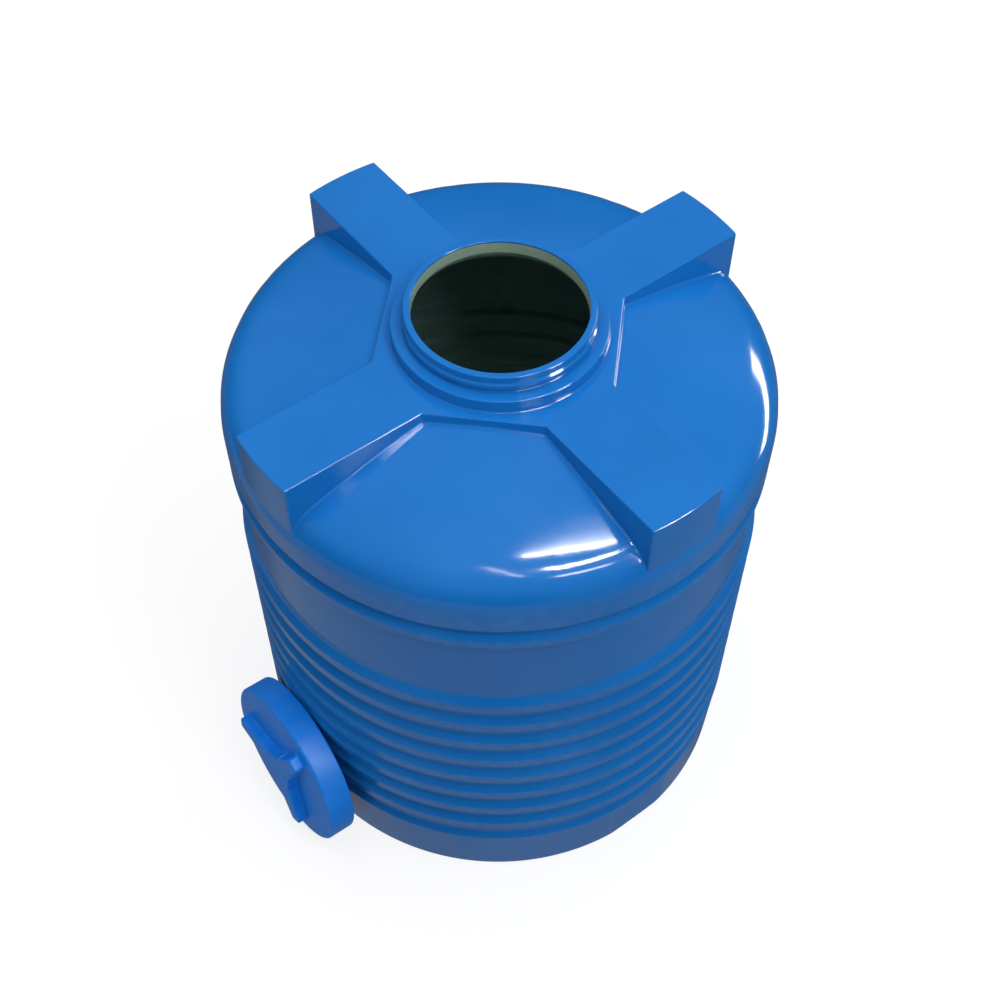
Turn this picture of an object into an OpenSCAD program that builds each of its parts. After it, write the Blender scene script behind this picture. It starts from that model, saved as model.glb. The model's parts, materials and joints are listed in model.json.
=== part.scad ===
// Vertical water storage tank with a threaded manhole neck, four raised arms on the dome, a ribbed
// wall and a screw lid, which stands on the ground and leans against the wall.
// Millimetres. Origin: the centre of the base, on the ground. +Z is up, and -Y is the front.

/* [Tank wall] */
// Outer radius of the wall, measured on the rib crests
wall_r = 540; // [520:1:560]
// Outer radius of the plain skirt at the ground
skirt_foot_r = 532; // [530:1:536]
// Outer radius of the plain skirt at its upper edge
skirt_top_r = 537; // [536:1:539]
// Height of the plain skirt
skirt_h = 144; // [120:1:150]
// Outer radius of the plain band and of the valleys between the ribs
valley_r = 527; // [524:1:528]
// Radius of the rounded edge at the foot of the wall
foot_round = 7; // [6.5:0.5:12]
// Thickness of the outer blue layer
shell_t = 4; // [3:0.5:5]
// Thickness of the inner layer
liner_t = 2; // [1:0.5:2]

/* [Ribs] */
// Number of ribs round the wall
rib_count = 8; // [4:1:8]
// Height of the first rib's top edge above the ground
rib_top = 741; // [735:1:745]
// Distance from one rib to the next
rib_pitch = 73.6; // [70:0.1:74]
// Height of a rib's upright crest
rib_crest_h = 27; // [20:1:32]
// Height of the slope above a crest
rib_slope_h = 19; // [10:1:22]
// Height of the short slope under a crest
rib_under_h = 5; // [3:1:8]

/* [Shoulder] */
// Radius of the rounded shoulder between dome and wall
shoulder_round = 78; // [60:1:80]
// Radius of the dome's curvature
dome_r = 1600; // [1500:10:1800]
// Height that the dome would have on the axis
dome_top = 1210.8; // [1205:0.2:1212]
// Height of the lower edge of the shoulder
shoulder_low = 1012; // [1008:1:1020]
// Height of the upper edge of the ring under the shoulder
ring_top = 975; // [970:1:980]
// Height of that ring's upright crest
ring_crest_h = 21; // [16:1:26]

/* [Arms] */
// Number of raised arms on the dome
arm_count = 4; // [4:1:4]
// Width of an arm
arm_w = 159; // [140:1:170]
// Height of the flat tops of the arms and the hub
arm_top = 1214; // [1212:1:1220]
// Radius of the arms' rounded ends about the tank's axis
arm_reach = 534; // [520:1:536]
// Distance of the hub's straight sides from the axis
hub_side = 224; // [215:1:240]
// Direction of the first arm, anticlockwise from +X
arm_azimuth = 37.9; // [0:0.1:90]

/* [Neck] */
// Height of the neck's rim
rim_z = 1278; // [1270:1:1290]
// Radius of the opening
bore_r = 166.5; // [150:0.5:168]
// Outer radius of the neck
neck_r = 179.5; // [176:0.5:180]
// Height of the blue lip over the inner layer's edge
lip_h = 4; // [2:1:6]
// Height of the lower edge of the opening's upright wall
bore_low = 1250; // [1248:1:1256]
// Height of the ledge that the lid stands on
ledge_z = 1242; // [1236:1:1244]
// Outer radius of that ledge
ledge_r = 204.5; // [200:0.5:212]
// Outer radius of the neck's thread
thread_r = 183; // [181:0.5:183.5]
// Height of the middle of the thread
thread_z = 1255; // [1253:1:1258]
// Height of the thread's flank-to-flank foot
thread_h = 16; // [10:1:18]

/* [Outlet flat] */
// Direction of the flat, anticlockwise from +X
flat_azimuth = -52.6; // [-60:0.1:-40]
// Distance of the flat's face from the axis
flat_distance = 527; // [524:0.5:528]
// Width of the flat
flat_w = 151; // [120:1:160]
// Height of the flat
flat_h = 137; // [100:1:137]

/* [Lid] */
// Outer radius of the lid
lid_r = 192.5; // [190:0.5:196]
// Height of the lid without its grip
lid_h = 60; // [56:1:66]
// Radius inside the lid's skirt
lid_bore_r = 185.2; // [184.6:0.2:186.6]
// Inner radius of the lid's thread
lid_thread_r = 180.6; // [180:0.2:181.6]
// Thickness of the lid's top
lid_top_t = 5; // [4:0.5:6]
// Depth from the lid's mouth to the land that the seal lies on
seal_depth = 40; // [38:1:44]
// Inner radius of that land
land_r = 160; // [155:1:164]
// Rounding of the lid's outer edges
lid_round = 5; // [2:0.5:6]

/* [Lid grip] */
// Number of arms of the grip
grip_arms = 3; // [3:1:4]
// Height of the grip above the lid
grip_h = 24; // [16:1:30]
// Distance from the lid's centre to the end of a grip arm
grip_reach = 151; // [130:1:160]
// Width of a grip arm at its end
grip_end_w = 33; // [24:1:40]
// Distance from the lid's centre to the root of a grip arm
grip_root = 46; // [44:1:60]
// Width of a grip arm at its root
grip_root_w = 57; // [50:1:60]
// Wall of the hollow grip
grip_t = 5; // [4:0.5:6]
// Turn of the grip about the lid's axis
grip_turn = 28.7; // [0:0.1:120]

/* [Lid seal] */
// Inner radius of the seal
seal_in_r = 165; // [162:0.5:170]
// Thickness of the seal
seal_t = 4; // [3:0.5:5]

/* [Where the lid leans] */
// Direction of the lid from the tank's axis, anticlockwise from +X
lid_azimuth = 219.1; // [216:0.1:222]
// Direction that the lid's top faces
lid_facing = 217.4; // [216:0.1:222]
// Distance of the lid's mouth from the tank's axis
lid_distance = 554; // [553:0.5:600]
// Angle that the lid leans back
lid_lean = 3.8; // [2:0.1:4]

/* [Hidden] */
$fn = 180;
arc_steps = 10;
overlap = 1;
gap = 0.3;
wall_t = shell_t + liner_t;
dome_z = dome_top - dome_r;
shoulder_z = dome_z + sqrt(pow(dome_r - shoulder_round, 2) - pow(wall_r - shoulder_round, 2));
shoulder_angle = atan2(shoulder_z - dome_z, wall_r - shoulder_round);
arm_foot = shoulder_low + 20;
neck_foot = arm_foot;
thread_flank = 4;

function arc(cx, cy, r, from, to) =
    [for (i = [0:arc_steps]) let (a = from + (to - from) * i / arc_steps)
        [cx + r * cos(a), cy + r * sin(a)]];

// One rib from below to above, with a crest crest_h high, inset by t
function rib(top, crest_h, t) = [
    [valley_r - t, top - crest_h - rib_under_h],
    [wall_r - t, top - crest_h],
    [wall_r - t, top],
    [valley_r - t, top + rib_slope_h]];

// Half of the body's section, inset by t, from the base up to the dome's crown
function body_section(t) = concat(
    [[0, t]],
    arc(skirt_foot_r - foot_round, foot_round, foot_round - t, -90, 0),
    [[skirt_top_r - t, skirt_h], [valley_r - t, skirt_h + rib_slope_h]],
    [for (i = [rib_count - 1:-1:0]) each rib(rib_top - i * rib_pitch, rib_crest_h, t)],
    rib(ring_top, ring_crest_h, t),
    [[valley_r - t, shoulder_low - rib_under_h], [wall_r - t, shoulder_low]],
    arc(wall_r - shoulder_round, shoulder_z, shoulder_round - t, 0, shoulder_angle),
    [for (i = [1:arc_steps])
        let (a = shoulder_angle + (90 - shoulder_angle) * i / arc_steps)
        [(dome_r - t) * cos(a), dome_z + (dome_r - t) * sin(a)]]);

// Plan of the hub and its arms, inset by t, with the arms' ends left long
module arms_plan(t) {
    half = arm_w / 2 - t;
    hub_x = (hub_side - t) * sqrt(2) - half;
    polygon([for (k = [0:arm_count - 1], p = [[hub_x, -half], [wall_r, -half], [wall_r, half], [hub_x, half]])
        let (a = arm_azimuth + k * 360 / arm_count)
        [p.x * cos(a) - p.y * sin(a), p.x * sin(a) + p.y * cos(a)]]);
}

module arms(t) {
    intersection() {
        translate([0, 0, arm_foot]) linear_extrude(arm_top - t - arm_foot) arms_plan(t);
        translate([0, 0, arm_foot]) cylinder(h = arm_top - arm_foot, r = arm_reach - t);
    }
}

// Block that cuts the outlet flat into the skirt, inset by t
module flat_cutter(t) {
    rotate([0, 0, flat_azimuth])
        translate([flat_distance - t, -flat_w / 2 - t, -overlap])
            cube([wall_r, flat_w + 2 * t, flat_h + t + overlap]);
}

// Body with its arms, inset by t
module body_solid(t) {
    difference() {
        union() {
            rotate_extrude() polygon(body_section(t));
            arms(t);
        }
        flat_cutter(t);
    }
}

// Collar, ledge, neck and thread as one turned solid
module neck_solid() {
    rotate_extrude() polygon([
        [0, neck_foot],
        [ledge_r, neck_foot],
        [ledge_r, ledge_z - 2],
        [ledge_r - 2, ledge_z],
        [neck_r, ledge_z],
        [neck_r, thread_z - thread_h / 2],
        [thread_r, thread_z - thread_h / 2 + thread_flank],
        [thread_r, thread_z + thread_h / 2 - thread_flank],
        [neck_r, thread_z + thread_h / 2],
        [neck_r, rim_z - 2],
        [neck_r - 2, rim_z],
        [0, rim_z]]);
}

// Everything inside a layer whose outside is inset by t
module cavity(t, top_z) {
    body_solid(t);
    rotate_extrude() polygon([
        [0, neck_foot],
        [ledge_r - t, neck_foot],
        [ledge_r - t, ledge_z - t],
        [neck_r - t, ledge_z - t],
        [bore_r + wall_t - t, bore_low],
        [bore_r + wall_t - t, top_z],
        [0, top_z]]);
}

module tank_shell() {
    color("royalblue")
    difference() {
        union() {
            body_solid(0);
            neck_solid();
        }
        cavity(shell_t, rim_z - lip_h);
        translate([0, 0, ledge_z]) cylinder(h = rim_z - ledge_z + overlap, r = bore_r);
    }
}

module tank_liner() {
    color("darkseagreen")
    difference() {
        cavity(shell_t, rim_z - lip_h);
        cavity(wall_t, rim_z - lip_h + overlap);
    }
}

// Places something drawn on the lid's own axis, mouth down, where the lid leans
module leaning() {
    translate([lid_distance * cos(lid_azimuth), lid_distance * sin(lid_azimuth), lid_r * cos(lid_lean)])
        rotate([0, 0, lid_facing])
            rotate([0, 90 - lid_lean, 0])
                children();
}

// Plan of the grip, inset by t
module grip_plan(t) {
    polygon([for (k = [0:grip_arms - 1],
            p = [[grip_root, t - grip_root_w / 2], [grip_reach - t, t - grip_end_w / 2],
                 [grip_reach - t, grip_end_w / 2 - t], [grip_root, grip_root_w / 2 - t]])
        let (a = grip_turn + k * 360 / grip_arms)
        [p.x * cos(a) - p.y * sin(a), p.x * sin(a) + p.y * cos(a)]]);
}

// Cap with its mouth at z = 0, a thread inside the skirt and a land for the seal
module lid_shell() {
    color("dodgerblue")
    leaning()
    difference() {
        union() {
            rotate_extrude() polygon(concat(
                [[0, 0]],
                arc(lid_r - lid_round, lid_round, lid_round, -90, 0),
                arc(lid_r - lid_round, lid_h - lid_round, lid_round, 0, 90),
                [[0, lid_h]]));
            translate([0, 0, lid_h - overlap]) linear_extrude(grip_h + overlap) grip_plan(0);
        }
        rotate_extrude() polygon([
            [0, -overlap],
            [lid_bore_r, -overlap],
            [lid_bore_r, 12],
            [lid_thread_r, 15],
            [lid_thread_r, 19],
            [lid_bore_r, 22],
            [lid_bore_r, seal_depth],
            [land_r, seal_depth],
            [land_r, lid_h - lid_top_t],
            [0, lid_h - lid_top_t]]);
        translate([0, 0, lid_h - lid_top_t - overlap])
            linear_extrude(grip_h + overlap) grip_plan(grip_t);
    }
}

// Flat ring that lies loose on the lid's land
module lid_seal() {
    color("dimgray")
    leaning()
    difference() {
        translate([0, 0, seal_depth - gap - seal_t]) cylinder(h = seal_t, r = lid_bore_r - gap);
        translate([0, 0, seal_depth - gap - seal_t - overlap]) cylinder(h = seal_t + 2 * overlap, r = seal_in_r);
    }
}

tank_shell();
tank_liner();
lid_shell();
lid_seal();
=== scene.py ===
# %% [markdown]
# # A blue water tank and its loose lid
#
# The real object is an upright water tank, moulded in one piece by turning plastic powder in a hot
# mould. Its outside is glossy blue and its inside is a waxy grey-green. Four raised arms cross the
# dome, ribs stiffen the wall, and a wide threaded neck takes a screw lid. The lid is off: it
# stands on its rim and leans against the wall.
#
# The packed CAD model gives the places and sizes. This script builds finer skins around it,
# gives every surface a finish made of nodes, and sets up a small studio.

# %% Load the frame
import json
from math import acos, asin, atan2, cos, degrees, hypot, pi, radians, sin, sqrt, tan

import bmesh
import bpy
from mathutils import Matrix, Vector


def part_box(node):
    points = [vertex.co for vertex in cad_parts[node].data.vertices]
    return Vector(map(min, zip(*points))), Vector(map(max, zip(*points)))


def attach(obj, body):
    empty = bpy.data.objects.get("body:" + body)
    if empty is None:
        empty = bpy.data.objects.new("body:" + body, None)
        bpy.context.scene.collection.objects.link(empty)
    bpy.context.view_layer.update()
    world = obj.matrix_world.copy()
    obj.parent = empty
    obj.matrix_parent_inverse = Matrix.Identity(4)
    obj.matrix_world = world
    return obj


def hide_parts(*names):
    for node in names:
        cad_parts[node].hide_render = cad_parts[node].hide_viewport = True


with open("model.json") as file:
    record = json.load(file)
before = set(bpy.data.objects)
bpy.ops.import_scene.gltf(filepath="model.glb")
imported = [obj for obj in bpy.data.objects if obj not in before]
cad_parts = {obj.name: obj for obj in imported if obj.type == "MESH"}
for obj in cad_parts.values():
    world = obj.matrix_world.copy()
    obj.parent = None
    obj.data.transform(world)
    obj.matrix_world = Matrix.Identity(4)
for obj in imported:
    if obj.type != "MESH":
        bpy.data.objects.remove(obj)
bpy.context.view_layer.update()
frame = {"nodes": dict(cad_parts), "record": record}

print("nodes:", sorted(frame["nodes"]))

# %% [markdown]
# ## Rounded corners on a section line
#
# Every edge of a rotomoulded tank is soft, because the powder can't fill a sharp corner. A Bevel
# modifier could round them afterwards, but it rounds all edges alike. Here each corner of a section
# line carries its own radius, so that a rib's crest can be tighter than the valley under it.

# %% Round the corners of a line
MM = 0.001
MOST_OF_SIDE = 0.49


def turned(point, angle):
    """A point of the plane, turned about the origin by an angle in degrees."""
    c, s = cos(radians(angle)), sin(radians(angle))
    return (c * point[0] - s * point[1], s * point[0] + c * point[1])


def corner_arc(before, corner, after, radius, steps):
    """Points of an arc that rounds a corner; without steps, just the corner."""
    a = Vector(before) - Vector(corner)
    b = Vector(after) - Vector(corner)
    if not steps or radius <= 0 or a.length < 1e-6 or b.length < 1e-6:
        return [tuple(corner)] * (steps + 1)
    half = a.angle(b) / 2
    reach = min(radius / tan(half), MOST_OF_SIDE * a.length, MOST_OF_SIDE * b.length)
    radius = reach * tan(half)
    start = Vector(corner) + a.normalized() * reach
    end = Vector(corner) + b.normalized() * reach
    middle = (a.normalized() + b.normalized()).normalized()
    centre = Vector(corner) + middle * radius / sin(half)
    points = []
    for i in range(steps + 1):
        spoke = (start - centre).normalized().slerp((end - centre).normalized(), i / steps)
        points.append(tuple(centre + spoke * radius))
    return points


def soft_line(points):
    """A line through (across, up, radius, steps) corners, with each corner rounded."""
    line = [points[0][:2]]
    for before, corner, after in zip(points, points[1:], points[2:]):
        line += corner_arc(before[:2], corner[:2], after[:2], corner[2], corner[3])
    return line + [points[-1][:2]]


sample = corner_arc((0, 9), (0, 0), (9, 0), 4, 2)
print("a rounded corner:", [tuple(round(v, 2) for v in p) for p in sample])

# %% [markdown]
# ## Star outlines with a fixed count of points
#
# Both the arms on the dome and the grip on the lid are flat-topped stars. Their edges are rounded
# where they meet the top and flared where they meet the surface below. A star can be drawn once as a
# list of corners and then grown or shrunk. Each size has the same number of points in the same
# order, so the sizes can be joined into a skin point by point.

# %% Grow or shrink a star
def grown(corners, by):
    """A closed outline moved outwards. Corners are (x, y, radius, arc steps, steps to the next)."""
    count = len(corners)
    sides = []
    for i in range(count):
        a = Vector(corners[i][:2])
        b = Vector(corners[(i + 1) % count][:2])
        along = (b - a).normalized()
        sides.append((a + Vector((along.y, -along.x)) * by, along))
    moved = []
    for i in range(count):
        (a, u), (b, v) = sides[i - 1], sides[i]
        cross = u.x * v.y - u.y * v.x
        if abs(cross) < 1e-6:
            moved.append((b, cross))
        else:
            offset = b - a
            moved.append((a + u * (offset.x * v.y - offset.y * v.x) / cross, cross))
    arcs = []
    for i in range(count):
        radius, steps = corners[i][2:4]
        place, cross = moved[i]
        if steps:
            radius = max(radius + (by if cross > 0 else -by), 1.0)
        before, after = moved[i - 1][0], moved[(i + 1) % count][0]
        arcs.append(corner_arc(before, place, after, radius, steps))
    points = []
    for i in range(count):
        points += arcs[i]
        start, end = Vector(arcs[i][-1]), Vector(arcs[(i + 1) % count][0])
        run = corners[i][4]
        for k in range(1, run):
            points.append(tuple(start.lerp(end, k / run)))
    return points


square = [(9, -9, 3, 2, 2), (9, 9, 3, 2, 2), (-9, 9, 3, 2, 2), (-9, -9, 3, 2, 2)]
print("a square and a grown one:", len(grown(square, 0)), "and", len(grown(square, 2)), "points")

# %% [markdown]
# ## Skins from rows of points
#
# A turned pot is a row of circles joined from the bottom up. The tank is nearly that, but its rows
# change from circles to a star and back. So one helper joins any rows that have the same number of
# points, closes both ends with a fan, and can step down to fewer points where a row is hidden.

# %% Join rows with faces
def fan(mesh, centre, row, flip):
    """Triangles from one point to a row."""
    for i in range(len(row)):
        a, b = row[i], row[(i + 1) % len(row)]
        mesh.faces.new((centre, b, a) if flip else (centre, a, b))


def band(mesh, low, high):
    """Quads between two rows of the same length."""
    for i in range(len(low)):
        k = (i + 1) % len(low)
        mesh.faces.new((low[i], low[k], high[k], high[i]))


def zipped(mesh, low, high, low_turns, high_turns):
    """Triangles between two rows of different lengths, in step with their angles."""
    i = k = 0
    while i < len(low) or k < len(high):
        next_low = low_turns[i + 1] if i + 1 < len(low) else low_turns[0] + 360
        next_high = high_turns[k + 1] if k + 1 < len(high) else high_turns[0] + 360
        a, b = low[i % len(low)], high[k % len(high)]
        if k >= len(high) or (i < len(low) and next_low <= next_high):
            i += 1
            mesh.faces.new((a, low[i % len(low)], b))
        else:
            k += 1
            mesh.faces.new((a, high[k % len(high)], b))


trial = bmesh.new()
plan = [(0, 0), (1, 0), (1, 1), (0, 1)]
trial_rows = [[trial.verts.new((x, y, z)) for x, y in plan] for z in (0, 1)]
band(trial, *trial_rows)
print("a band between two squares:", len(trial.faces), "faces")
trial.free()

# %% [markdown]
# ## From rows to an object
#
# Where two rows meet in the same place, their doubled points are merged. Smooth shading alone would
# let the narrow rounded edges bend the look of the broad faces beside them, so a Weighted Normal
# modifier lets the large faces decide.

# %% Make a closed skin
def skin(name, first, parts, last):
    """A closed object from its two end points and parts of (turns, rows), in millimetres."""
    mesh = bmesh.new()

    def vertex(p):
        return mesh.verts.new((p[0] * MM, p[1] * MM, p[2] * MM))

    previous, previous_turns = None, None
    start = vertex(first)
    for turns, rows in parts:
        for row in rows:
            made = [vertex(p) for p in row]
            if previous is None:
                fan(mesh, start, made, True)
            elif len(previous) == len(made):
                band(mesh, previous, made)
            else:
                zipped(mesh, previous, made, previous_turns, turns)
            previous, previous_turns = made, turns
    fan(mesh, vertex(last), previous, False)
    bmesh.ops.remove_doubles(mesh, verts=mesh.verts, dist=1e-6)
    bmesh.ops.recalc_face_normals(mesh, faces=mesh.faces)
    open_edges = sum(not e.is_manifold for e in mesh.edges)
    data = bpy.data.meshes.new(name)
    mesh.to_mesh(data)
    mesh.free()
    data.shade_smooth()
    piece = bpy.data.objects.new(name, data)
    bpy.context.scene.collection.objects.link(piece)
    even = piece.modifiers.new("even_normals", "WEIGHTED_NORMAL")
    even.weight = 60
    triangles = sum(len(f.vertices) - 2 for f in data.polygons)
    print(f"{name}: {len(data.vertices)} points, {triangles} triangles, {open_edges} open edges")
    return piece


# %% [markdown]
# ## The tank's section
#
# The wall stands on a plain skirt. Above it come eight ribs with upright crests and sloping tops,
# a plain band, one more ring, a groove and the rounded shoulder. The dome is part of a large sphere.
# The shoulder's arc touches both the sphere and the wall, so light runs over it without a
# crease. The wall could be a modelled strip with an Array modifier, but a list of corners keeps
# every height in one place.

# %% Heights and radii of the wall
low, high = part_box("tank_shell")
WALL = high[0] / MM
RIM = high[2] / MM
VALLEY = 527
SKIRT_FOOT, SKIRT_TOP, SKIRT_HIGH, FOOT_ROUND = 532, 537, 144, 7
FLAT_HIGH = 137
RIB_COUNT, FIRST_RIB, RIB_PITCH = 8, 741, 73.6
RIB_TOPS = [FIRST_RIB - RIB_PITCH * i for i in range(RIB_COUNT)]
RIB_CREST, RIB_SLOPE = 27, 19
UNDER_LOW, UNDER_HIGH = 6, 1
RING_TOP, RING_CREST = 975, 21
SHOULDER_LOW, SHOULDER_ROUND, SHOULDER_UP = 1012, 78, 1061
DOME_R, DOME_CENTRE = 1600, -389.2
SKIN, LINER = 4, 2
LEDGE_R, LEDGE, NECK_R, BORE_R = 204.5, 1242, 179.5, 166.5


def rib(top, crest, fine):
    """A rib's corners from below to above: (across, up, radius, arc steps)."""
    steps = 2 if fine else 0
    return [
        (VALLEY, top - crest - UNDER_LOW, 5, steps),
        (WALL, top - crest + UNDER_HIGH, 4, steps),
        (WALL, top, 3, steps + 1 if fine else 0),
        (VALLEY, top + RIB_SLOPE, 16, steps),
    ]


def wall_line(inset, fine):
    """The section from the foot to the shoulder."""
    steps = 4 if fine else 0
    # The corners near the flat's top edge give it rows of its own, so its step stays crisp.
    corners = [
        (SKIRT_FOOT, FOOT_ROUND, 0, 0),
        (SKIRT_TOP - 0.2, FLAT_HIGH - 2, 0, 0),
        (SKIRT_TOP - 0.1, FLAT_HIGH, 0, 0),
        (SKIRT_TOP, FLAT_HIGH + 1.5, 0, 0),
        (SKIRT_TOP, SKIRT_HIGH + 1, 3, steps),
        (VALLEY, SKIRT_HIGH + 17, 12, steps),
    ]
    for top in reversed(RIB_TOPS):
        corners += rib(top, RIB_CREST, fine)
    corners += rib(RING_TOP, RING_CREST, fine)
    corners += [
        (VALLEY, SHOULDER_LOW - UNDER_LOW, 5, steps),
        (WALL, SHOULDER_LOW + UNDER_HIGH, 4, steps),
        (WALL, SHOULDER_UP, 0, 0),
    ]
    return [(across - inset, up) for across, up in soft_line(corners)]


def foot_line(inset, steps):
    """The rounded lower edge, from under the tank out to the skirt."""
    round_off = FOOT_ROUND - inset
    turns = [-90 + 90 * i / steps for i in range(steps)]
    middle = SKIRT_FOOT - FOOT_ROUND
    spokes = [turned((round_off, 0), t) for t in turns]
    return [(middle + across, FOOT_ROUND + up) for across, up in spokes]


print("wall line:", len(wall_line(0, True)), "points")
print("wall radius:", round(WALL, 1), "rim height:", round(RIM, 1))

# %% [markdown]
# ## The dome under the arms
#
# Between the star and the shoulder, each row has to stay on the dome. The helper below walks along
# the dome's section by its true length, so the rows are spaced evenly however far out the star
# reaches.

# %% Walk along the dome's section
SHOULDER_MID = WALL - SHOULDER_ROUND
MEET = atan2(SHOULDER_UP - DOME_CENTRE, SHOULDER_MID)
MEET_R = DOME_R * cos(MEET)


def dome_height(radius, inset):
    """The dome's height at a distance from the axis."""
    if radius > (DOME_R - inset) * cos(MEET):
        inside = (SHOULDER_ROUND - inset) ** 2 - (radius - SHOULDER_MID) ** 2
        return SHOULDER_UP + sqrt(max(inside, 0))
    return DOME_CENTRE + sqrt((DOME_R - inset) ** 2 - radius**2)


def walked(radius, inset):
    """The length of the section from the crown out to a radius."""
    crown, bend = DOME_R - inset, SHOULDER_ROUND - inset
    if radius <= crown * cos(MEET):
        return crown * asin(radius / crown)
    turn = acos(min((radius - SHOULDER_MID) / bend, 1))
    return crown * (pi / 2 - MEET) + bend * (MEET - turn)


def at_length(length, inset):
    """The radius and height at a length along the section."""
    crown, bend = DOME_R - inset, SHOULDER_ROUND - inset
    sphere = crown * (pi / 2 - MEET)
    if length <= sphere:
        return crown * sin(length / crown), DOME_CENTRE + crown * cos(length / crown)
    turn = MEET - (length - sphere) / bend
    return SHOULDER_MID + bend * cos(turn), SHOULDER_UP + bend * sin(turn)


print("dome meets shoulder at radius", round(MEET_R, 1), "height", round(dome_height(MEET_R, 0), 1))

# %% [markdown]
# ## The hub and its four arms
#
# The hub's straight sides join the arms in soft inner corners. An arm's end follows the wall's
# curve. The same outline serves for the outside and, shrunk by the thickness, for the inside.

# %% Draw the hub and arms
ARM_TOP, ARM_HALF, ARM_REACH, HUB_SIDE, ARM_TURN = 1214, 79.5, 534, 224, 37.9
ARM_EDGE, ARM_FLARE, END_FLARE = 3, 4, 2
HUB_ROUND, END_ROUND = 7, 4
END_SHARES = [-1, -0.72, -0.5, -0.25, 0, 0.25, 0.5, 0.72, 1]
LONG_RUN, HUB_RUN, END_RUN, ARC = 20, 24, 2, 4
END_HALF_TURN, FLARE_CHANGE = 7.2, 3.6


def arm_corners(coarse):
    """The hub and arms as corners, from the first hub corner on."""
    part = 2 if coarse else 1
    hub_x = HUB_SIDE * sqrt(2) - ARM_HALF
    bow = degrees(asin(ARM_HALF / ARM_REACH))
    arm = [(hub_x, -ARM_HALF, HUB_ROUND, ARC // part, LONG_RUN // part)]
    for share in END_SHARES:
        x, y = turned((ARM_REACH, 0), bow * share)
        if abs(share) < 1:
            arm.append((x, y, 0, 0, END_RUN // part))
        else:
            run = END_RUN if share < 0 else LONG_RUN
            arm.append((x, y, END_ROUND, ARC // part, run // part))
    arm.append((hub_x, ARM_HALF, HUB_ROUND, ARC // part, HUB_RUN // part))
    return [turned(c[:2], ARM_TURN + 90 * k) + c[2:] for k in range(4) for c in arm]


def star_rows(coarse):
    """The star's corners, and for each of its points its turn on a plain circle and its flare."""
    corners = arm_corners(coarse)
    count = len(grown(corners, 0))
    step = 360 / count
    first = ARM_TURN - 45 + HUB_RUN / 2 / (2 if coarse else 1) * step
    turns = [first + step * i for i in range(count)]
    flares = []
    for turn in turns:
        away = abs((turn - ARM_TURN + 45) % 90 - 45)
        share = min(max((away - END_HALF_TURN) / FLARE_CHANGE, 0), 1)
        flares.append(END_FLARE + (ARM_FLARE - END_FLARE) * share)
    return corners, turns, flares


for label, coarse in (("fine", False), ("coarse", True)):
    corners, turns, flares = star_rows(coarse)
    print(label, "star:", len(turns), "points, flares", min(flares), "to", max(flares))

# %% [markdown]
# ## The outlet flat
#
# Low on the front right, the round skirt is cut by a flat patch, so that an outlet fitting can
# seal against it. Cutting it with a Boolean would leave long thin faces. Pressing the points of the
# skirt back to a plane keeps the rows intact.

# %% Press the flat into the skirt
FLAT_TURN, FLAT_AWAY, FLAT_HALF = -52.6, 527, 75.5
STEP_SLOPE, STEP_WIDE = 6, 1


def pressed(x, y, z, inset):
    """A point of the skirt, moved back onto the flat if it lies there."""
    u, v = turned((x, y), -FLAT_TURN)
    beside = max(abs(v) - FLAT_HALF - inset, 0)
    above = max(z - FLAT_HIGH - inset, 0)
    limit = FLAT_AWAY - inset + STEP_SLOPE * (beside + above)
    if u < limit:
        return (x, y, z)
    x, y = turned((limit, v), FLAT_TURN)
    return (x, y, z)


def with_flat_columns(turns):
    """The turns about the axis, with two moved onto each side of the flat."""
    turns = list(turns)
    for away in (FLAT_HALF, FLAT_HALF + STEP_WIDE):
        for side in (-1, 1):
            turn = FLAT_TURN + side * degrees(asin(away / WALL))
            gaps = [(turn - t + 180) % 360 - 180 for t in turns]
            nearest = min(range(len(turns)), key=lambda i: abs(gaps[i]))
            turns[nearest] += gaps[nearest]
    return turns


sample = pressed(*turned((WALL - 4, 0), FLAT_TURN), 60, 0)
print("a pressed point:", [round(v, 1) for v in sample])

# %% [markdown]
# ## All rows of one face of the tank's wall
#
# The outside and the inside are the same shape, one skin thickness apart. The same helpers make the
# rows of either, from under the base up to the collar. On the dome, the rows turn from a circle into
# the star little by little, and they crowd together near the star, where the shape changes fastest.

# %% Rows of the dome and of the arms' sides
CROWDING = 1.5


def dome_rows(inset, coarse, turns, feet):
    """Rows on the dome, from the shoulder in to the star's foot."""
    end = walked(WALL - inset, inset)
    walk = 10 if coarse else 24
    rows = []
    for k in range(1, walk):
        left = (1 - k / walk) ** CROWDING
        row = []
        for foot, turn in zip(feet, turns):
            begin = walked(hypot(*foot), inset)
            radius, height = at_length(begin + (end - begin) * left, inset)
            own = degrees(atan2(foot[1], foot[0]))
            swing = (turn - own + 180) % 360 - 180
            row.append((*turned((radius, 0), own + swing * left), height))
        rows.append(row)
    return rows


def side_rows(inset, coarse, star, flares):
    """Rows up the sides of the arms and hub, flared at the foot and rounded at the top."""
    rounds = 2 if coarse else 5
    leans = [radians(90 - 90 * k / rounds) for k in range(rounds + 1)]
    rows = []
    for lean in leans:
        row = []
        for i, flare in enumerate(flares):
            x, y = star(flare * (1 - cos(lean)) - inset)[i]
            row.append((x, y, dome_height(hypot(x, y), inset) + flare * (1 - sin(lean))))
        rows.append(row)
    for lean in leans:
        height = ARM_TOP - inset + ARM_EDGE * (cos(lean) - 1)
        rows.append([(x, y, height) for x, y in star(ARM_EDGE * (sin(lean) - 1) - inset)])
    return rows


sample = [row[0][2] for row in dome_rows(0, True, [0, 90], [(300, 0), (0, 300)])]
print("dome rows:", len(sample), "from height", round(sample[0]), "to", round(sample[-1]))

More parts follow.
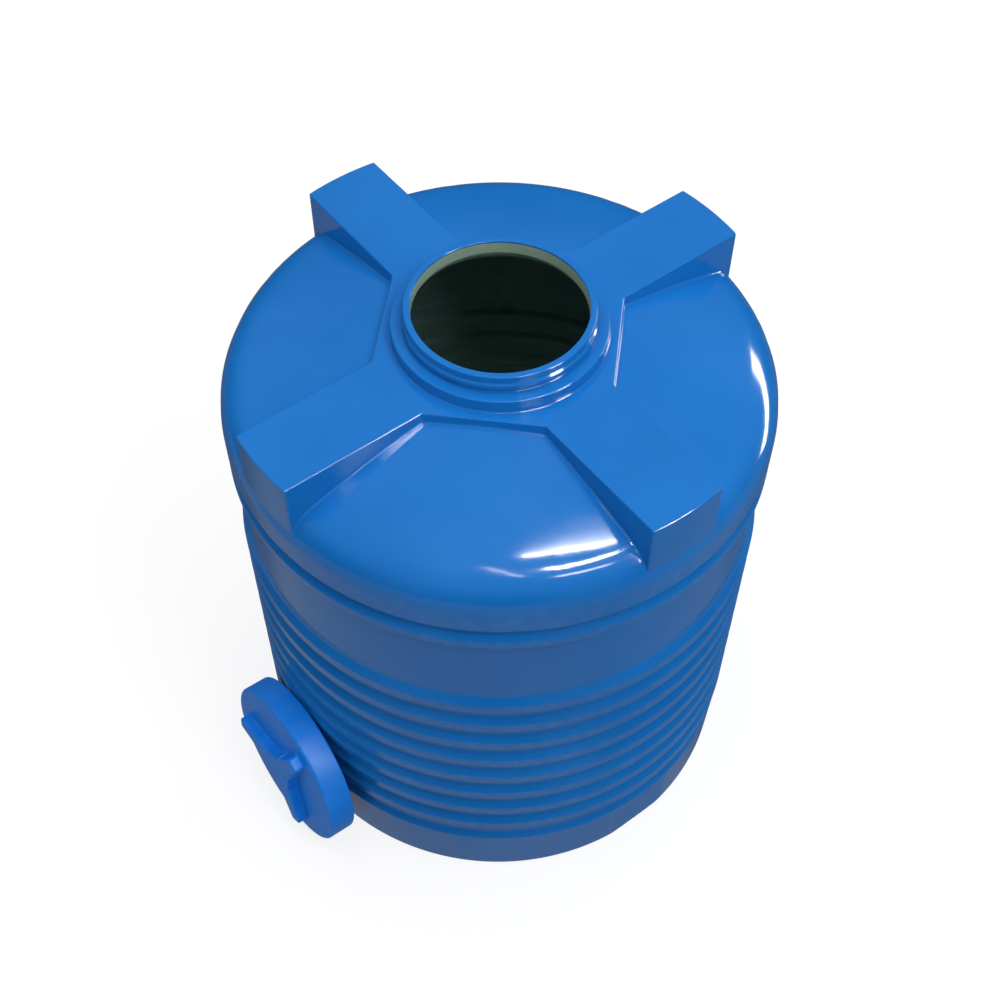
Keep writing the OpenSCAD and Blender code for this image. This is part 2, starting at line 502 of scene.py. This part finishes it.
# %% Rows from the base to the collar
COLLAR_FLARE, BASE_SHARE = 8, 0.6


def circle(turns, radius, height):
    """A row on a circle."""
    return [(radius * cos(radians(t)), radius * sin(radians(t)), height) for t in turns]


def body_rows(inset, coarse):
    """Rows of the wall, shoulder, dome, arms and hub, with the turns of the last row's points."""
    corners, even_turns, flares = star_rows(coarse)
    turns = with_flat_columns(even_turns)
    section = foot_line(inset, 3 if coarse else 6) + wall_line(inset, not coarse)
    rows = [circle(turns, section[0][0] * BASE_SHARE, inset)]
    rows += [[pressed(*p, inset) for p in circle(turns, across, up)] for across, up in section]
    outlines = {}

    def star(by):
        by = round(by, 4)
        if by not in outlines:
            outlines[by] = grown(corners, by)
        return outlines[by]

    feet = [star(flare - inset)[i] for i, flare in enumerate(flares)]
    rows += dome_rows(inset, coarse, turns, feet)
    rows += side_rows(inset, coarse, star, flares)
    inner_edge = star(-ARM_EDGE - inset)
    neck_turns = [degrees(atan2(y, x)) for x, y in inner_edge]
    neck_turns = [neck_turns[0] + (turn - neck_turns[0]) % 360 for turn in neck_turns]
    collar_radius = LEDGE_R + (0 if coarse else COLLAR_FLARE) - inset
    collar = circle(neck_turns, collar_radius, ARM_TOP - inset)
    for share in (0.35, 0.7) if coarse else (0.25, 0.5, 0.75):
        pairs = zip(inner_edge, collar)
        rows.append([tuple(Vector((*a, b[2])).lerp(Vector(b), share)) for a, b in pairs])
    rows.append(collar)
    return neck_turns, rows


for label, inset, coarse in (("outside", 0, False), ("inside", SKIN, True)):
    turns, rows = body_rows(inset, coarse)
    print(label, "rows:", len(rows), "of", len(turns))

# %% [markdown]
# ## The neck
#
# The neck is turned: a collar with a ledge that the lid lands on, one raised thread, a rounded rim
# and the short upright wall that the inner layer shows on. Its inside goes back down to the
# hidden face of the tank's skin.

# %% The neck's section
THREAD_R, THREAD_LOW, THREAD_HIGH, THREAD_SLOPE = 183, 1247, 1263, 4
RIM_LAP, THROAT_LOW = 4, 1250
neck_out = soft_line([
    (LEDGE_R + COLLAR_FLARE, ARM_TOP, 0, 0),
    (LEDGE_R, ARM_TOP, 4, 4),
    (LEDGE_R, LEDGE, 2.5, 4),
    (NECK_R, LEDGE, 2, 3),
    (NECK_R, THREAD_LOW, 1, 2),
    (THREAD_R, THREAD_LOW + THREAD_SLOPE, 1, 2),
    (THREAD_R, THREAD_HIGH - THREAD_SLOPE, 1, 2),
    (NECK_R, THREAD_HIGH, 1, 2),
    (NECK_R, RIM, 2, 4),
    (BORE_R, RIM, 1.5, 3),
    (BORE_R, RIM - RIM_LAP, 0, 0),
])[1:]
neck_in = [
    (BORE_R + LINER, RIM - RIM_LAP),
    (BORE_R + LINER, THROAT_LOW),
    (NECK_R - SKIN, LEDGE - SKIN),
    (LEDGE_R - SKIN, LEDGE - SKIN),
]
print("neck:", len(neck_out), "rows outside,", len(neck_in), "inside")

# %% Build the tank's blue skin
outer_turns, outer = body_rows(0, False)
inner_turns, inner = body_rows(SKIN, True)
outer += [circle(outer_turns, across, up) for across, up in neck_out]
inner = [circle(inner_turns, across, up) for across, up in neck_in] + inner[::-1]
tank = skin("tank_body", (0, 0, 0), [(outer_turns, outer), (inner_turns, inner)], (0, 0, SKIN))
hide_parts("tank_shell")
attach(tank, "tank")

# %% [markdown]
# ## The lid
#
# The lid is a shallow cap with a skirt, a thread inside it, and a hollow three-armed grip on top that
# two hands can turn. It is built lying on the origin with its mouth down, and then placed
# where it leans.

# %% The lid's grip and sections
LID_R, LID_HIGH, LID_BORE, LID_EDGE = 192.5, 60, 185.2, 6
LID_THREAD, LAND, LAND_R = 180.6, 40, 160
GRIP_HIGH, GRIP_EDGE, GRIP_FLARE, GRIP_WALL = 84, 4, 5, 5
GRIP_TURN, GRIP_GAP = 28.7, 28
MIDDLE_SHARE = 0.5


def grip_corners():
    """The grip's outline as corners. Each arm has a small step where it leaves the hub."""
    arm = [
        (46, -28.5, 12, 6, 6),
        (80, -27.2, 1, 2, 2),
        (82, -22.2, 1, 2, 6),
        (151, -16.5, 7, 6, 8),
        (151, 16.5, 7, 6, 6),
        (82, 22.2, 1, 2, 2),
        (80, 27.2, 1, 2, 6),
        (46, 28.5, 12, 6, GRIP_GAP),
    ]
    return [turned(c[:2], GRIP_TURN + 120 * k) + c[2:] for k in range(3) for c in arm]


def grip_turns(count):
    """The turns about the lid's axis that go with the grip's points."""
    step = 360 / count
    return [GRIP_TURN - 60 + step * (i + GRIP_GAP / 2) for i in range(count)]


grip = grip_corners()
lid_turns = grip_turns(len(grown(grip, 0)))
print("grip:", len(lid_turns), "points")

# %% Rows of the lid
def grip_rows(corners, edge, flare, top, foot, inset):
    """Rows of a flat-topped grip from its top edge down to its foot."""
    leans = [radians(90 * k / 4) for k in range(5)]
    rows = []
    for lean in leans:
        outline = grown(corners, edge * (sin(lean) - 1) - inset)
        rows.append([(x, y, top + edge * (cos(lean) - 1)) for x, y in outline])
    for lean in leans:
        outline = grown(corners, flare * (1 - cos(lean)) - inset)
        rows.append([(x, y, foot + flare * (1 - sin(lean))) for x, y in outline])
    return rows


def drawn_in(row):
    """A row pulled towards the axis, which keeps the last fan of faces small."""
    return [(x * MIDDLE_SHARE, y * MIDDLE_SHARE, z) for x, y, z in row]


lid_out = soft_line([
    (163, LID_HIGH, 0, 0),
    (LID_R, LID_HIGH, LID_EDGE, 6),
    (LID_R, 0, 4, 4),
    (LID_BORE, 0, 1.5, 2),
    (LID_BORE, 12, 1, 2),
    (LID_THREAD, 15, 1, 2),
    (LID_THREAD, 19, 1, 2),
    (LID_BORE, 22, 1, 2),
    (LID_BORE, LAND, 0, 0),
])
lid_in = [(LAND_R, LAND), (LAND_R, LID_HIGH - GRIP_WALL), (LAND_R - 4, LID_HIGH - GRIP_WALL)]
top_rows = grip_rows(grip, GRIP_EDGE, GRIP_FLARE, GRIP_HIGH, LID_HIGH, 0)
hollow = grip_rows(grip, 1, 1, GRIP_HIGH - GRIP_WALL, LID_HIGH - GRIP_WALL, GRIP_WALL)[::-1]
rows = [drawn_in(top_rows[0])] + top_rows
rows += [circle(lid_turns, across, up) for across, up in lid_out + lid_in]
rows += hollow + [drawn_in(hollow[-1])]
lid = skin("lid_cap", (0, 0, GRIP_HIGH), [(lid_turns, rows)], (0, 0, GRIP_HIGH - GRIP_WALL))

# %% [markdown]
# ## Where the lid leans
#
# Someone has set the lid down on its rim, with its grip facing out. The joint that turns it already
# holds its axis and the middle of its mouth, so the lid is placed by these two and no angle has to
# be given a second time.

# %% Lean the lid against the wall
joints = frame["record"]["behaviour"]["joints"]
turning = next(joint for joint in joints if joint["name"] == "lid_turn")
lid_axis = Vector(turning["axis"]).normalized()
lid_mouth = Vector(turning["pos_m"])
sideways = Vector((0, 0, 1)).cross(lid_axis).normalized()
upright = lid_axis.cross(sideways)
leaning = Matrix((-upright, sideways, lid_axis)).transposed().to_4x4()
leaning.translation = lid_mouth
lid.data.transform(leaning)
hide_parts("lid_shell")
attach(lid, "lid")
places = [v.co for v in lid.data.vertices]
for pick, cad in zip((min, max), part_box("lid_shell")):
    mine = [pick(p[i] for p in places) for i in range(3)]
    print("lid box:", [round(v, 4) for v in cad], "skin:", [round(v, 4) for v in mine])

# %% [markdown]
# ## Writing finishes as sums
#
# A finish is a graph of nodes, and wiring it by hand takes many lines. The class below wraps a
# socket, so that `mask * 0.3 + 0.1` adds the Math nodes by itself. Colours go through a Mix node,
# because a Math node would turn them grey.

# %% A wire that can be used in sums
# Sockets that share a name are told apart by their numbers.
MIX_FACTOR, MIX_FIRST, MIX_SECOND, MIX_COLOUR = 0, 6, 7, 2
OBJECT_PLACE = 3
ACROSS, BACK, UP = 0, 1, 2


class Wire:
    """An output socket that can be used in sums."""

    def __init__(self, finish, socket):
        self.finish = finish
        self.socket = socket

    def maths(self, operation, *values):
        """A Math node on some values; its result is a new wire."""
        settings = {"operation": operation}
        return self.finish.add("ShaderNodeMath", settings, dict(enumerate(values)))

    def __add__(self, other):
        return self.maths("ADD", self, other)

    def __sub__(self, other):
        return self.maths("SUBTRACT", self, other)

    def __rsub__(self, other):
        return self.maths("SUBTRACT", other, self)

    def __mul__(self, other):
        return self.maths("MULTIPLY", self, other)

    def __truediv__(self, other):
        return self.maths("DIVIDE", self, other)

    def __rtruediv__(self, other):
        return self.maths("DIVIDE", other, self)

    __radd__ = __add__
    __rmul__ = __mul__

    def root(self):
        """The square root."""
        return self.maths("SQRT", self)

    def step(self, low, high):
        """0 below low, 1 above high, and a soft rise between."""
        settings = {"interpolation_type": "SMOOTHSTEP", "clamp": True}
        sockets = {"Value": self, "From Min": low, "From Max": high}
        return self.finish.add("ShaderNodeMapRange", settings, sockets)

    def between(self, low, high):
        """Low where this is 0 and high where it is 1."""
        return self * (high - low) + low

    def blend(self, first, second):
        """The first colour where this is 0 and the second where it is 1."""
        settings = {"data_type": "RGBA", "blend_type": "MIX", "clamp_factor": True}
        sockets = {MIX_FACTOR: self, MIX_FIRST: first, MIX_SECOND: second}
        return self.finish.add("ShaderNodeMix", settings, sockets, MIX_COLOUR)


print("a wire can:", [name for name in vars(Wire) if not name.startswith("_")])

# %% [markdown]
# ## One way to add any node
#
# Every other node has its own settings and sockets. One method takes both as plain pairs, so no kind
# of node needs a function of its own, and the few that come up again and again get a short name.

# %% The nodes of one finish
class Finish:
    """The nodes of a material, or of the room if a world is given, and their final surface node."""

    def __init__(self, name, owner=None):
        self.material = owner or bpy.data.materials.new(name)
        self.material.use_nodes = True
        self.tree = self.material.node_tree
        self.surface = self.tree.nodes["Background" if owner else "Principled BSDF"]

    def add(self, kind, settings=(), sockets=(), out=0):
        """A node of a kind: its settings first, then the values or wires of its sockets."""
        node = self.tree.nodes.new(kind)
        for name, value in dict(settings).items():
            setattr(node, name, value)
        for name, value in dict(sockets).items():
            self.feed(node.inputs[name], value)
        return Wire(self, node.outputs[out])

    def feed(self, socket, value):
        """Sets a socket to a number or colour, or links a wire to it."""
        if isinstance(value, Wire):
            self.tree.links.new(value.socket, socket)
        else:
            socket.default_value = value

    def set(self, **inputs):
        """Feeds the surface's own sockets; an underscore stands for a space."""
        for name, value in inputs.items():
            self.feed(self.surface.inputs[name.replace("_", " ")], value)

    def place(self):
        """The place on the object, in metres."""
        return self.add("ShaderNodeTexCoord", {}, {}, OBJECT_PLACE)

    def part(self, place, axis):
        """One of the three numbers of a place or a direction."""
        return self.add("ShaderNodeSeparateXYZ", {}, {"Vector": place}, axis)

    def bump(self, height, strength, depth):
        """A surface that is raised by a height, up to a depth in metres."""
        sockets = {"Strength": strength, "Distance": depth, "Height": height}
        return self.add("ShaderNodeBump", {}, sockets)

    def noise(self, place, scale, detail=2.0, roughness=0.5):
        """Cloudy values about 0.5, with their size given as waves per metre."""
        sockets = {"Vector": place, "Scale": scale, "Detail": detail, "Roughness": roughness}
        return self.add("ShaderNodeTexNoise", {}, sockets)


def colour(red, green, blue):
    """A colour given as parts of 255 as a screen shows it."""
    def linear(part):
        part /= 255
        return part / 12.92 if part <= 0.04045 else ((part + 0.055) / 1.055) ** 2.4

    return (linear(red), linear(green), linear(blue), 1.0)


print("a finish can:", [name for name in vars(Finish) if not name.startswith("_")])
print("a blue:", [round(v, 3) for v in colour(39, 113, 188)])

# %% [markdown]
# ## Glossy blue plastic
#
# The tank's skin came off a polished mould, so it is glossy, yet the plastic shrinks a little
# unevenly as it cools: the surface waves very slightly, like orange peel, and the colour clouds
# softly. Handling dulls the crests of the ribs first. A clear coat could give the gloss too, but
# the real plastic has no second layer, so its own roughness does the work. The lid is made of a
# brighter and duller plastic, so it is rougher and mirrors less.

# %% Finish: tank and lid plastic
RUBBED = colour(150, 190, 230)


def blue_plastic(name, deep, light, rough_low, rough_high, peel, scuffs):
    """Moulded blue plastic; scuffs makes the mask of the places that get rubbed."""
    f = Finish(name)
    place = f.place()
    clouds = f.noise(place, 3.2, 3.0, 0.55).step(0.3, 0.7)
    speckle = f.noise(place, 420, 2.0, 0.6)
    wear = scuffs(f, place) * f.noise(place, 34, 4.0, 0.7).step(0.42, 0.72)
    tint = clouds.blend(deep, light)
    paleness = speckle.step(0.62, 0.8) * 0.02 + wear * 0.05
    f.set(Base_Color=paleness.blend(tint, RUBBED))
    smear = f.noise(place, 7, 3.0, 0.5).step(0.3, 0.75)
    f.set(Roughness=smear.between(rough_low, rough_high) + wear * 0.08)
    f.set(IOR=1.5)
    waves = f.noise(place, 42, 1.0, 0.4) * 0.8 + speckle * 0.04
    f.set(Normal=f.bump(waves, peel, 0.0005))
    return f


def crest_scuffs(f, place):
    """1 on the rib crests and the other places that are furthest out, where things rub."""
    x, y = f.part(place, ACROSS), f.part(place, BACK)
    away = (x * x + y * y).root()
    return away.step((WALL - 2.2) * MM, (WALL - 0.4) * MM)


def handled_patches(f, place):
    """Broad patches of the lid, which is handled everywhere."""
    return f.noise(place, 9, 1.0, 0.5).step(0.4, 0.6)


tank_blue = blue_plastic(
    "tank_blue",
    deep=colour(17, 106, 184),
    light=colour(24, 112, 191),
    rough_low=0.08,
    rough_high=0.13,
    peel=0.045,
    scuffs=crest_scuffs,
)
lid_blue = blue_plastic(
    "lid_blue",
    deep=colour(9, 121, 222),
    light=colour(16, 127, 230),
    rough_low=0.34,
    rough_high=0.42,
    peel=0.1,
    scuffs=handled_patches,
)
lid_blue.set(Specular_IOR_Level=0.18)
tank.data.materials.append(tank_blue.material)
lid.data.materials.append(lid_blue.material)
print("tank finish:", len(tank_blue.tree.nodes), "nodes")
print("lid finish:", len(lid_blue.tree.nodes), "nodes")

# %% [markdown]
# ## The grey-green inner layer
#
# Inside, a second layer keeps light from the water. It cools against air instead of a mould, so it
# is waxy and uneven. In the neck, where light falls in, it is painted paler: painted light. Its
# CAD shape is right, with the ribs seen from within, so only its finish is new.

# %% Finish: inner layer
liner = frame["nodes"]["tank_liner"]
inner_green = Finish("liner_green")
place = inner_green.place()
mottle = inner_green.noise(place, 14, 5.0, 0.6).step(0.3, 0.7)
pits = inner_green.noise(place, 160, 3.0, 0.6)
# Painted light: the inner layer is painted paler in the neck, standing in for the light that falls in
# there.
painted_light_neck = inner_green.part(place, UP).step(1.235, 1.25)
waxy = mottle.blend(colour(110, 148, 142), colour(122, 158, 150))
painted_lit_green = mottle.blend(colour(146, 176, 154), colour(156, 184, 162))
inner_green.set(
    Base_Color=painted_light_neck.blend(waxy, painted_lit_green),
    Roughness=pits.between(0.42, 0.62),
    Normal=inner_green.bump(pits, 0.4, 0.0008),
)
liner.data.materials.clear()
liner.data.materials.append(inner_green.material)
print("liner finish:", len(inner_green.tree.nodes), "nodes")

# %% [markdown]
# ## The rubber seal
#
# A loose ring of rubber sheet lies in the lid. Punched from sheet, it is flat with square edges, as
# the CAD has it, so it keeps that shape and gets a fine grain with dusty patches.

# %% Finish: seal rubber
seal = frame["nodes"]["lid_seal"]
rubber = Finish("seal_black")
place = rubber.place()
dust = rubber.noise(place, 40, 4.0, 0.7).step(0.45, 0.75)
grain = rubber.noise(place, 900, 2.0, 0.5)
rubber.set(
    Base_Color=(dust * 0.35).blend(colour(28, 28, 29), colour(84, 82, 78)),
    Roughness=dust.between(0.62, 0.86),
    Normal=rubber.bump(grain, 0.5, 0.0003),
)
seal.data.materials.clear()
seal.data.materials.append(rubber.material)
print("seal finish:", len(rubber.tree.nodes), "nodes")

# %% [markdown]
# ## The studio
#
# A pale sheet of paper covers the floor and curves up into a wall all round.
# Glossy plastic mirrors its surroundings, and plain white paper would wash its blue out. So the
# paper is hidden from reflections, and the tank mirrors a dim room instead: nearly black at eye
# level, grey above, and pale below, though less so to the rear and the right. That draws the ribs,
# with pale upright faces and deep slopes.

# %% Floor and room
FLOOR_R, SWEEP_R, SWEEP_STEPS, WALL_UP, ROUND = 6.5, 1.5, 8, 6.5, 96
sweep = [(FLOOR_R, 0)]
for k in range(1, SWEEP_STEPS + 1):
    lean = radians(90 * k / SWEEP_STEPS)
    sweep.append((FLOOR_R + SWEEP_R * sin(lean), SWEEP_R * (1 - cos(lean))))
sweep.append((FLOOR_R + SWEEP_R, WALL_UP))
floor_mesh = bmesh.new()
around = [360 * i / ROUND for i in range(ROUND)]
rings = [[floor_mesh.verts.new(p) for p in circle(around, away, up)] for away, up in sweep]
floor_mesh.faces.new(rings[0])
for inner_ring, outer_ring in zip(rings, rings[1:]):
    band(floor_mesh, outer_ring, inner_ring)
floor_data = bpy.data.meshes.new("floor")
floor_mesh.to_mesh(floor_data)
floor_mesh.free()
floor_data.shade_smooth()
FLOOR_GAP = 0.001
floor = bpy.data.objects.new("floor", floor_data)
floor.location.z = -FLOOR_GAP
bpy.context.scene.collection.objects.link(floor)
paper = Finish("pale_floor")
paper.set(Base_Color=(0.24, 0.24, 0.24, 1), Roughness=0.9, Specular_IOR_Level=0.0)
paper.set(Emission_Color=(1, 1, 1, 1), Emission_Strength=0.8)
floor.data.materials.append(paper.material)
floor.visible_glossy = False
floor.visible_diffuse = False
print("floor:", len(floor_data.polygons), "faces")

# %% The room that the plastic mirrors
world = bpy.data.worlds.new("studio")
bpy.context.scene.world = world
room = Finish("room", world)
way = room.add("ShaderNodeTexCoord")
rise = room.part(way, UP)
ground = (rise * -1).step(0.2, 0.32)
sky = rise.step(0.1, 0.6)
to_right = room.part(way, ACROSS).step(0.1, 0.5)
to_rear = room.part(way, BACK).step(0.18, 0.45)
near_ground = to_right.blend((0.31, 0.31, 0.31, 1), (0.2, 0.22, 0.25, 1))
far_ground = to_right.blend((0.09, 0.105, 0.13, 1), (0.09, 0.15, 0.25, 1))
below = to_rear.blend(near_ground, far_ground)
eye_level, above = (0.03, 0.033, 0.037, 1), (0.26, 0.27, 0.29, 1)
room.set(Color=sky.blend(ground.blend(eye_level, below), above))
print("room:", len(room.tree.nodes), "nodes")

# %% [markdown]
# ## Lamps
#
# Large soft lamps light the colours evenly. They are hidden from mirror reflections, because a
# glossy dome would show them as pale patches. Bars above the dome and beside it do the opposite:
# they light nothing, but the shoulder stretches their reflections into bright streaks that show how
# round it is. One more bar, edge_line, shows only on the arms' rounded edges. A faint lamp inside the
# tank keeps the ribs on its far side from being lost in the dark.

# %% Place the lamps
CENTRE = (0, 0, 0.7)
SHOULDER_SPOT = Vector((0.2, -0.4, 1.15))
HIGH = 5.13
FILL_POWERS = (40, 56, 32, 32, 32, 32)


def lamp(name, place, aim, width, height, power, lights=True, shines=False):
    """A rectangular lamp, in metres and watts, that faces a point."""
    data = bpy.data.lights.new(name, "AREA")
    data.shape = "RECTANGLE"
    data.size, data.size_y = width, height
    data.energy = power
    made = bpy.data.objects.new(name, data)
    face = (Vector(aim) - Vector(place)).to_track_quat("-Z", "Y").to_matrix()
    made.matrix_world = face.to_4x4()
    made.location = place
    made.visible_diffuse = lights
    made.visible_glossy = shines
    bpy.context.scene.collection.objects.link(made)
    return made


def bar(name, start, end, width, glow):
    """A bar lamp between two points, which faces the dome and shows only as a reflection."""
    a, b = Vector(start), Vector(end)
    middle, long = (a + b) / 2, (b - a).normalized()
    away = middle - SHOULDER_SPOT
    away = (away - long * away.dot(long)).normalized()
    length = (b - a).length
    power = glow * pi * length * width
    made = lamp(name, middle, CENTRE, length, width, power, lights=False, shines=True)
    made.matrix_world = Matrix((long, away.cross(long), away)).transposed().to_4x4()
    made.location = middle
    return made


lamp("overhead", (0.2, 0, 5.2), CENTRE, 4.5, 4.5, 165)
lamp("key", (2.0, -2.3, 5.0), CENTRE, 1.4, 1.4, 55)
for k, power in enumerate(FILL_POWERS):
    x, y = turned((5, 0), -60 + 60 * k)
    lamp(f"side_fill_{k}", (x, y, 1.3), CENTRE, 2.5, 2.2, power)
lamp("inside_glow", (0.25, -0.3, 0.3), (-0.4, 0.25, 0.3), 0.2, 0.2, 0.14)
bar("dome_streak", (0.3, -0.46, HIGH), (2.6, 0.16, HIGH), 0.1, 60)
bar("dome_glow", (0.75, -0.2, HIGH), (1.5, 0.02, HIGH), 0.14, 5)
bar("dome_haze", (0.85, 0, HIGH), (1.4, 0.18, HIGH), 0.2, 1.6)
bar("second_streak", (0.85, -1.72, HIGH), (1.95, -1.07, HIGH), 0.42, 75)
bar("third_streak", (1.35, -3.25, HIGH), (2.9, -3.0, HIGH), 0.3, 22)
bar("left_streak", (-0.2, -1.15, HIGH), (0.5, -2.6, HIGH), 0.07, 24)
bar("edge_line", (2.62, -1.27, 3.94), (3.24, -2.07, 2.27), 0.8, 40)
bar("right_streak", (2.7, 2.5, 2.9), (3.75, 0.9, 0.4), 0.35, 24)

# %% [markdown]
# ## The camera
#
# The camera looks steeply down from the front, on a short lens, so that the dome spreads out and the
# wall tapers towards the ground.

# %% Place the camera
LOOK_DOWN, TILT, AWAY, LENS = radians(53.15), radians(0.481), 3.2508, 54.44
target = Vector((0.0026, 0, 0.6809))
eye = Vector((0, -AWAY * cos(LOOK_DOWN), target.z + AWAY * sin(LOOK_DOWN)))
forward = (target - eye).normalized()
right = forward.cross(Vector((0, 0, 1))).normalized()
up = right.cross(forward)
level_right = right * cos(TILT) + up * sin(TILT)
level_up = up * cos(TILT) - right * sin(TILT)
camera_data = bpy.data.cameras.new("camera")
camera_data.sensor_width = 36
camera_data.lens = LENS
camera = bpy.data.objects.new("camera", camera_data)
camera.matrix_world = Matrix((level_right, level_up, -forward)).transposed().to_4x4()
camera.matrix_world.translation = eye
bpy.context.scene.collection.objects.link(camera)
bpy.context.scene.camera = camera
bpy.context.scene.view_settings.view_transform = "Standard"
print("camera at", [round(v, 3) for v in eye])

# %% [markdown]
# ## The skins' size
#
# The fine skins may not outgrow the CAD model. Only the lid's box is printed beside the CAD box,
# where the lid is placed.
